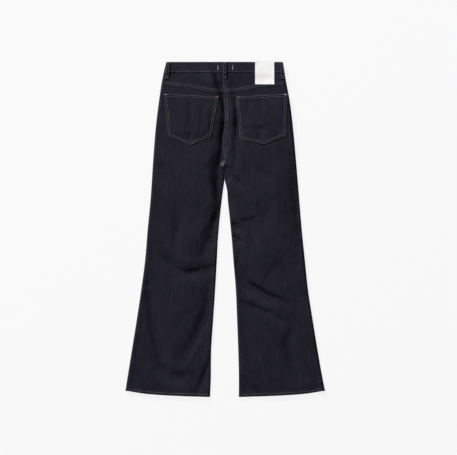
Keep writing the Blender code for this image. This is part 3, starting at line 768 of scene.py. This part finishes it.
def front_leg(side):
    cols = columns(46)
    mouth_low = WAIST_SEAM - POCKET_MOUTH[1]
    upper = np.sin(np.linspace(math.pi / 2, 0, 26, endpoint=False))
    below = np.linspace(0, 1, 200)[1:]
    rows = []
    first, last = inner_x(side, "front", WAIST_SEAM), scoop_x(side, WAIST_SEAM)
    reach = OUT[side](WAIST_SEAM) - AWAY[side] * FRONT_ROLL
    top = front_waist((first + (last - first) * cols[0]) / reach) - BAND - GAP / 2
    for share in upper:  # share 1 at the top, 0 level with the mouth's lowest point
        rows.append(mouth_low + (top - mouth_low) * (1 - math.sqrt(max(1 - share**2, 0.0))))
    rows.append(np.full(len(top), mouth_low))
    rows += [mouth_low + (hem_y(cols[0]) - mouth_low) * share for share in below]
    y = np.array(rows)
    above = y > mouth_low + 1e-6
    outer_x = np.where(above, scoop_x(side, np.minimum(y, WAIST_SEAM)), OUT[side](y))
    limit = OUT[side](y)
    outer_x = np.where(AWAY[side] * outer_x < AWAY[side] * limit, outer_x, limit)
    points, inward = panel(side, "front", y, cols, FRONT_ROLL, outer_x=outer_x)
    in_mouth = above & (cols[1][None] > 0)
    calm = ease(mouth_low, mouth_low + 4, y) * in_mouth
    flat_z = front_z(points[..., 0], y)
    points[..., 2] = points[..., 2] * (1 - calm) + flat_z * calm
    inward = inward * (1 - calm[..., None]) + np.array([0.0, 0.0, 1.0]) * calm[..., None]
    inward /= np.linalg.norm(inward, axis=-1, keepdims=True)
    return cloth(f"front_leg_{side}", points, points + inward * DENIM)


def facing(side):
    """The cloth that shows in the pocket mouth, one layer further in than the front."""
    across, edge, angle = columns(30, inner_roll=False)
    low = WAIST_SEAM - POCKET_MOUTH[1] - FACING_LAP
    share = 1 - np.cos(np.linspace(0, math.pi / 2, 34))
    away = AWAY[side]
    rows, hollow = [], []
    for s in share[1:]:
        limit = scoop_x(side, np.array(low + (WAIST_SEAM - low) * s), FACING_LAP)
        rows.append(np.full(len(across), low + (WAIST_SEAM - 1.0 - low) * s))
        hollow.append(np.full(len(across), float(limit)))
    y, first = np.array(rows), np.array(hollow)
    last = OUT[side](y)
    roll = FRONT_ROLL
    x = first + (last - away * roll - first) * across
    x = np.where(edge > 0, last - away * roll * (1 - np.cos(angle)), x)
    z = front_z(x, y)
    z = np.where(edge > 0, z + (MID - GAP / 2 - z) * (1 - np.sin(angle)), z)
    tilt = np.broadcast_to(np.where(edge > 0, angle, math.pi / 2), y.shape)
    inward = np.stack([-away * np.cos(tilt), np.zeros(y.shape), np.sin(tilt)], -1)
    points = np.stack([x, y, z], -1) + inward * (DENIM + GAP)
    return cloth(f"pocket_facing_{side}", points, points + inward * DENIM, (denim_band,))


def band_height(x, y):
    """Height of the waistband's upper face on the back, away from the side rolls."""
    return back_z(x, y) + BAND_WALL - DENIM


def button_place():
    return BUTTON_X, float(front_waist(BUTTON_X / OUT["left"](TOP)) - BAND / 2)


def waistband():
    """One strip from its left end under the front, round the left side, over the back, to its right end."""
    end_left = BAND_END_LEFT / OUT["left"](WAIST_SEAM)
    end_right = BAND_END_RIGHT / OUT["right"](WAIST_SEAM)
    turns = np.linspace(90, 0, 6, endpoint=False)[1:]
    quarter = 52  # columns from an end or the middle of the back to a side
    stations = [("left", "front", f, 90) for f in np.linspace(end_left, 1, quarter)]
    stations += [("left", "front", None, a) for a in turns]
    stations += [("left", "back", None, a) for a in (0, *turns[::-1])]
    stations += [("left", "back", f, 90) for f in np.linspace(1, 0, quarter)]
    stations += [("right", "back", f, 90) for f in np.linspace(0, 1, quarter)[1:]]
    stations += [("right", "back", None, a) for a in turns]
    stations += [("right", "front", None, a) for a in (0, *turns[::-1])]
    stations += [("right", "front", f, 90) for f in np.linspace(1, end_right, 62)]
    down = np.array([0.0, 0.04, 0.1, 0.22, 0.36, 0.5, 0.64, 0.76, 0.86, 0.93, 0.97, 1.0])
    outer = np.zeros((len(down), len(stations), 3))
    inner = outer.copy()
    for k, (side, face, share, angle) in enumerate(stations):
        away, turn = AWAY[side], math.radians(angle)
        roll = BACK_ROLL if face == "back" else FRONT_ROLL
        high = TOP if share is None or face == "back" else front_waist(share)
        y = high - BAND * down
        edge = OUT[side](y)
        x = edge - away * roll * (1 - math.cos(turn)) if share is None else share * (edge - away * roll)
        round_off = -0.5 * (ease(0.06, 0, down) + ease(0.95, 1, down))
        if face == "back":
            z = band_height(x, y) + round_off
            z = MID + (z - MID) * math.sin(turn)
            way = -1.0
        else:
            z = front_z(x, y) - round_off
            if side == "right":
                z = z + (BAND_WALL + GAP) * ease(*BAND_STEP, x)
            z = MID - (MID - z) * math.sin(turn)
            way = 1.0
        outer[:, k] = np.stack([x, y, z], -1)
        inward = np.array([-away * math.cos(turn), 0.0, way * math.sin(turn)])
        inner[:, k] = outer[:, k] + inward * (BAND_WALL + round_off * 0.6)[:, None]
    middle = (outer[:-1, :-1] + outer[1:, 1:]) / 2
    bx, by = button_place()
    wide, high = BUTTONHOLE
    hole = ((middle[..., 0] - bx) / (wide / 2)) ** 2 + ((middle[..., 1] - by) / (high / 2)) ** 2
    first_end = np.arange(len(stations) - 1)[None] < quarter
    return cloth("waistband", outer, inner, (denim_band, denim_inside), ~((hole < 1) & first_end))


def over_band(y):
    return (BAND_WALL - DENIM) * ease(WAIST_SEAM - 8, WAIST_SEAM - 1.0, y)


def rolled_back_z(x, y):
    """The back's upper face with its roll at the side seam."""
    edge = np.where(x < 0, OUT["left"](y), OUT["right"](y))
    inside = np.clip((np.abs(edge) - np.abs(x)) / BACK_ROLL, 0, 1)
    return MID + (back_z(x, y) - MID) * np.sqrt(1 - (1 - inside) ** 2)


def label_z(x, y):
    """The patch lies on the waistband and the yoke, and its free corners lift a little."""
    rows = np.linspace(-6, 6, 5)
    rest = np.mean([back_z(x + a, y) for a in rows], axis=0)
    (mx, my), (half_x, half_y) = (126, 500), (30.6, 35.6)  # the middle, and from there to the edges
    corner = ease(0.75, 1.0, np.abs((x - mx) / half_x)) * ease(0.7, 1.0, np.abs((y - my) / half_y))
    step = (BAND_WALL - DENIM) * ease(WAIST_SEAM - 26, WAIST_SEAM, y)
    return rest + step + GAP + LABEL_WALL + 0.35 + 0.9 * corner


def label():
    x, y = np.meshgrid(np.linspace(LABEL.x0, LABEL.x1, 34), np.linspace(LABEL.y1, LABEL.y0, 40))
    z = label_z(x, y)
    outer = np.stack([x, y, z], -1)
    inner = np.stack([x, y, z - LABEL_WALL], -1)
    return dress(shell("patch_label", outer, inner, (white_patch,)), "label_patch")


def loop_z(x, y, middle):
    """A back loop's upper face: it bridges the waistband, and is drawn down at both ends."""
    down = (LOOP_TOP - y) / LOOP_LENGTH
    arch = 1.0 * np.sin(math.pi * np.clip(down, 0, 1)) ** 0.7
    crown = 0.35 * (1 - ((x - middle) / (LOOP_WIDTH / 2)) ** 2)
    return rolled_back_z(middle + (x - middle) * 0.9, y) + over_band(y) + 0.5 + LOOP_WALL + arch + crown


def loop(name, ends, face):
    share, across = np.meshgrid(np.linspace(0, 1, 46), np.linspace(-0.5, 0.5, 11), indexing="ij")
    middle = ends.top + (ends.bottom - ends.top) * share
    x = middle + across * LOOP_WIDTH
    if face == "back":
        y = LOOP_TOP - LOOP_LENGTH * share
        z = loop_z(x, y, middle)
        inner = np.stack([x, y, z - LOOP_WALL], -1)
    else:
        y = front_waist(middle / OUT["right"](TOP)) - LOOP_DROP - LOOP_LENGTH * share
        z = np.full(x.shape, 0.1)
        inner = np.stack([x, y, z + LOOP_WALL], -1)
    return cloth(f"belt_loop_{name}", np.stack([x, y, z], -1), inner, (denim_band,))


def button():
    x, y = button_place()
    shank_top = float(front_z(np.array(x), np.array(y))) + BAND_WALL
    ring = [(0.0, 0.15), (0.35, 0.1), (0.55, 0.0), (0.8, 0.0)]
    ring += [(0.95, 0.15), (1.0, 0.5), (0.95, 0.85), (0.85, 1.0)]
    profile = [(BUTTON_RADIUS * r, BUTTON_CAP * z) for r, z in ring]
    profile += [(SHANK_RADIUS, BUTTON_CAP), (SHANK_RADIUS, shank_top), (0.0, shank_top)]
    turns = np.linspace(0, 2 * math.pi, 48, endpoint=False)
    radius = np.array([max(r, 0.01) for r, z in profile])
    height = np.array([z for r, z in profile])
    points = np.stack(
        [x + radius[:, None] * np.cos(turns), y + radius[:, None] * np.sin(turns),
         np.repeat(height[:, None], len(turns), 1)], -1)
    rows, count = points.shape[:2]
    at = np.arange(rows * count).reshape(rows, count)
    after = np.roll(at, -1, axis=1)
    quads = np.stack([at[:-1], after[:-1], after[1:], at[1:]], -1).reshape(-1, 4)
    piece = mesh_object("metal_waist_button", points.reshape(-1, 3), quads.tolist(), (aged_metal,))
    piece.data.set_sharp_from_angle(angle=math.radians(40))
    return dress(piece, "waist_button")


made = {}
for side in SIDES:
    for make in (back_leg, yoke, pocket, front_leg, facing):
        made[f"{make.__name__}_{side}"] = make(side)
made["waistband"] = waistband()
for face, loops in (("back", BACK_LOOPS), ("front", FRONT_LOOPS)):
    for name, ends in loops.items():
        made[f"loop_{name}"] = loop(name, ends, face)
made["label"] = label()
button()

# ---- threads


def inset(corners, distance):
    """The corners of a convex outline moved inwards by a distance."""
    ring = [np.array(c, float) for c in corners]
    lines = []
    for a, b in zip(ring, ring[1:] + ring[:1]):
        way = (b - a) / np.linalg.norm(b - a)
        lines.append((a + distance * np.array([-way[1], way[0]]), way))
    moved = []
    for (p, u), (q, v) in zip([lines[-1], *lines[:-1]], lines):
        t = ((q[0] - p[0]) * v[1] - (q[1] - p[1]) * v[0]) / (u[0] * v[1] - u[1] * v[0])
        moved.append(p + t * u)
    return moved


def above(surface, lift=ON_CLOTH):
    return lambda x, y: surface(x, y) + lift


def seat_rows():
    y = np.linspace(WAIST_SEAM - 2, 204, 120)
    paths = [np.column_stack([SEAM_AT["back"](y) + off, y]) for off in (-ROW_STEP, ROW_STEP)]
    return [on(above(back_z), path) for path in paths]


def yoke_rows():
    rows = []
    for side in SIDES:
        across = np.linspace(0.01, 0.955, 60)
        y = yoke_y(across)
        first, last = inner_x(side, "back", y), OUT[side](y)
        x = first + (last - first) * across
        for off in (-ROW_STEP + 0.3, ROW_STEP + 0.3):
            rows.append(on(above(above(back_z, SEAM_LIFT)), np.column_stack([x, y + off])))
    return rows


def pocket_rows(side):
    rows = []
    for depth in POCKET_ROWS:
        ring = inset(POCKETS[side], depth)
        for a, b in zip(ring, ring[1:] + ring[:1]):
            rows.append(on(lambda x, y: pocket_z(side, x, y) + ON_CLOTH, [a, b]))
    return rows


def hem_rows(surface):
    rows = []
    for side in SIDES:
        across = np.linspace(0.03, 0.97, 60)
        y = hem_y(across) + HEM_ROW
        x = IN[side](y) + (OUT[side](y) - IN[side](y)) * across
        rows.append(on(surface, np.column_stack([x, y])))
    return rows


def band_rows():
    """The row along the waistband's lower edge, on both sides of the patch."""
    x = np.linspace(-184, 180, 200)
    rows = []
    for part in (x[x <= LABEL.x0 - 1], x[x >= LABEL.x1 + 1]):
        path = np.column_stack([part, np.full(part.shape, WAIST_SEAM + BAND_ROW)])
        rows.append(on(above(band_height), path))
    return rows


def loop_rows(ends):
    rows = []
    share = np.linspace(0.02, 0.98, 20)
    middle = ends.top + (ends.bottom - ends.top) * share
    y = LOOP_TOP - LOOP_LENGTH * share
    for off in (-4.0, 4.0):
        path = along(np.column_stack([middle + off, y]), 2.6)
        mid = np.interp(path[:, 1], y[::-1], middle[::-1])
        rows.append(np.column_stack([path, loop_z(path[:, 0], path[:, 1], mid) + ON_CLOTH]))
    return rows


def fly_rows():
    """The curved double row of the closed fly, and the rows beside the seam below it."""
    rows = []
    for shift in (0.0, 6.0):
        path = [(-38.5 + shift, 473 + shift / 6), (-38.5 + shift, 400), (-37 + shift, 378 + shift / 2)]
        path += [(-30 + 0.7 * shift, 353 + shift), (-17 + 0.3 * shift, 337 + shift), (-3, 331 + shift)]
        rows.append(on(front_z, rounded(path)))
    for off, y_top in ((-2.4, 474), (-8.4, 328)):
        y = np.linspace(y_top, 208, 60)
        rows.append(on(front_z, np.column_stack([SEAM_AT["front"](y) + off, y])))
    return rows


def mouth_rows(side):
    """Twin rows along the edge of a front pocket's mouth."""
    rows = []
    centre = OUT[side](WAIST_SEAM)
    turn = np.linspace(0.06, math.pi / 2, 40)
    for away in MOUTH_ROWS:
        x = centre - AWAY[side] * (POCKET_MOUTH[0] + away) * np.cos(turn)
        y = WAIST_SEAM - (POCKET_MOUTH[1] + away) * np.sin(turn)
        end = OUT[side](y[-1]) - AWAY[side] * FRONT_ROLL
        rows.append(on(front_z, np.column_stack([np.append(x, end), np.append(y, y[-1])])))
    return rows


def front_band_rows():
    rows = []
    for side, x in (("left", np.linspace(0, -180, 90)), ("right", np.linspace(6, 176, 90))):
        share = x / (OUT[side](WAIST_SEAM) - AWAY[side] * FRONT_ROLL)
        lapped = (BAND_WALL + GAP) * (side == "right")
        low = np.column_stack([x, front_waist(share) - BAND + BAND_ROW])
        rows.append(on(lambda px, py: front_z(px, py) + lapped * ease(*BAND_STEP, px), low))
    return rows


def bartack(surface, a, b, wide):
    """Close parallel threads from side to side, all along a short bar."""
    a, b = np.array(a, float), np.array(b, float)
    way = (b - a) / np.linalg.norm(b - a)
    side = np.array([-way[1], way[0]]) * wide / 2
    rows = []
    for place in along([a, b], 0.62):
        ends = np.array([place - side, place + side])
        rows.append(np.column_stack([ends, surface(ends[:, 0], ends[:, 1]) + 0.15]))
    return rows


def sew(name, rows, look, radius=THREAD, up=1.0):
    return dress(beads(name, rows, look, radius, up))


sew("thread_seat_seam", seat_rows(), thread)
sew("thread_yoke_seams", yoke_rows(), thread)
for side in SIDES:
    sew(f"thread_pocket_{side}", pocket_rows(side), thread_warm)
sew("thread_hems", hem_rows(above(back_z, ON_HEM)), thread, HEM_THREAD)
sew("thread_waistband", band_rows(), thread)
sew("thread_loops", [row for ends in BACK_LOOPS.values() for row in loop_rows(ends)], thread)
FRONT_ROWS = {
    "fly": fly_rows(),
    **{f"pocket_{side}": mouth_rows(side) for side in SIDES},
    "waistband": front_band_rows(),
    "hems": hem_rows(front_z),
}
for name, rows in FRONT_ROWS.items():
    sew(f"thread_front_{name}", rows, thread, THREAD_UNDER, -1.0)

BAR_COLUMNS = "side start end wide"
TAN_BARS = table(
    BAR_COLUMNS,
    ("left", (-31, 424.0), (-21.5, 423.4), 3.2),
    ("right", (37, 423.4), (46, 424.0), 3.2),
    ("right", (37.4, 420), (38.4, 392), 1.2),
)
WHITE_BARS = table(
    BAR_COLUMNS,
    ("left", (-193.5, 431.8), (-187, 431.6), 2.0),
    ("right", (188, 431.8), (196.5, 431.8), 2.0),
)


def pocket_bars(bars):
    rows = []
    for bar in bars:
        rows += bartack(lambda x, y: pocket_z(bar.side, x, y), bar.start, bar.end, bar.wide)
    return rows


tacks = []
for ends in BACK_LOOPS.values():
    for share, middle in ((0.965, ends.bottom), (0.03, ends.top)):
        y = LOOP_TOP - LOOP_LENGTH * share
        place = ((middle - 4.6, y), (middle + 4.6, y))
        tacks += bartack(lambda px, py: loop_z(px, py, middle), *place, 2.0)
whites = pocket_bars(WHITE_BARS)
for shift in (0.0, 6.4):  # the crotch's slanted dashes
    place = ((-8.4 + shift, 217.5), (-13.6 + shift, 204.0))
    whites += bartack(above(back_z, SEAM_LIFT), *place, 1.2)
for x in (-23.5, 23.8):  # the waistband's tapered tacks
    whites += bartack(band_height, (x, 525.0), (x, 516.0), 1.0)
    whites += bartack(band_height, (x, 516.0), (x, 511.4), 1.9)
sew("thread_loop_tacks", tacks, thread, TACK_THREAD)
sew("thread_pocket_tacks", pocket_bars(TAN_BARS), thread_tan, TACK_THREAD)
sew("thread_white_tacks", whites, thread_white, TACK_THREAD)

# ---- a size record, and the pieces' sides

# width, length and area, in metres and square metres; no piece's size is worked out or recorded, the loop
# only reads each piece's side
Cut = namedtuple("Cut", "width length area")
for name, piece in made.items():
    side = name.split("_")[-1]

# ---- floor, light and camera


def floor():
    """A wide white sheet under the jeans. Nearly all of its white is its own glow."""
    look, _, shader = new_look("paper_white", 1.0)
    shader.inputs["Base Color"].default_value = (0.06, 0.06, 0.06, 1)
    shader.inputs["Specular IOR Level"].default_value = 0.0
    shader.inputs["Emission Color"].default_value = (0.939, 0.939, 0.939, 1)
    shader.inputs["Emission Strength"].default_value = 0.94
    size, z = 12000.0, -0.3
    points = np.array([(-size, -size, z), (size, -size, z), (size, size, z), (-size, size, z)])
    mesh_object("paper", points, [[0, 1, 2, 3]], (look,))


def area_light(name, place, target, size, power):
    light = bpy.data.lights.new(name, "AREA")
    light.shape, light.size, light.energy = "DISK", size, power
    ob = in_scene(name, light)
    ob.location = place
    ob.rotation_euler = (Vector(target) - Vector(place)).to_track_quat("-Z", "Y").to_euler()


floor()
area_light("key", place=(-5.3, 8.0, 4.55), target=(0.0, 0.1, 0.0), size=2.1, power=2180)
world = bpy.data.worlds.new("soft_room")
world.use_nodes = True
background = world.node_tree.nodes["Background"].inputs
background[0].default_value = (1.0, 1.0, 1.02, 1)
background[1].default_value = 0.11
scene = bpy.context.scene
scene.world = world
scene.view_settings.view_transform = "Standard"
scene.view_settings.look = "None"

LENS, SENSOR = 150.0, 36.0
FIELD = 1.4624  # width of the picture at the height of the jeans
JEANS_HEIGHT = 0.008
camera = bpy.data.cameras.new("above")
camera.lens, camera.sensor_width = LENS, SENSOR
camera.dof.use_dof = False
camera_ob = in_scene("above", camera)
camera_ob.location = (0.0104, 0.0064, FIELD * LENS / SENSOR + JEANS_HEIGHT)
scene.camera = camera_ob
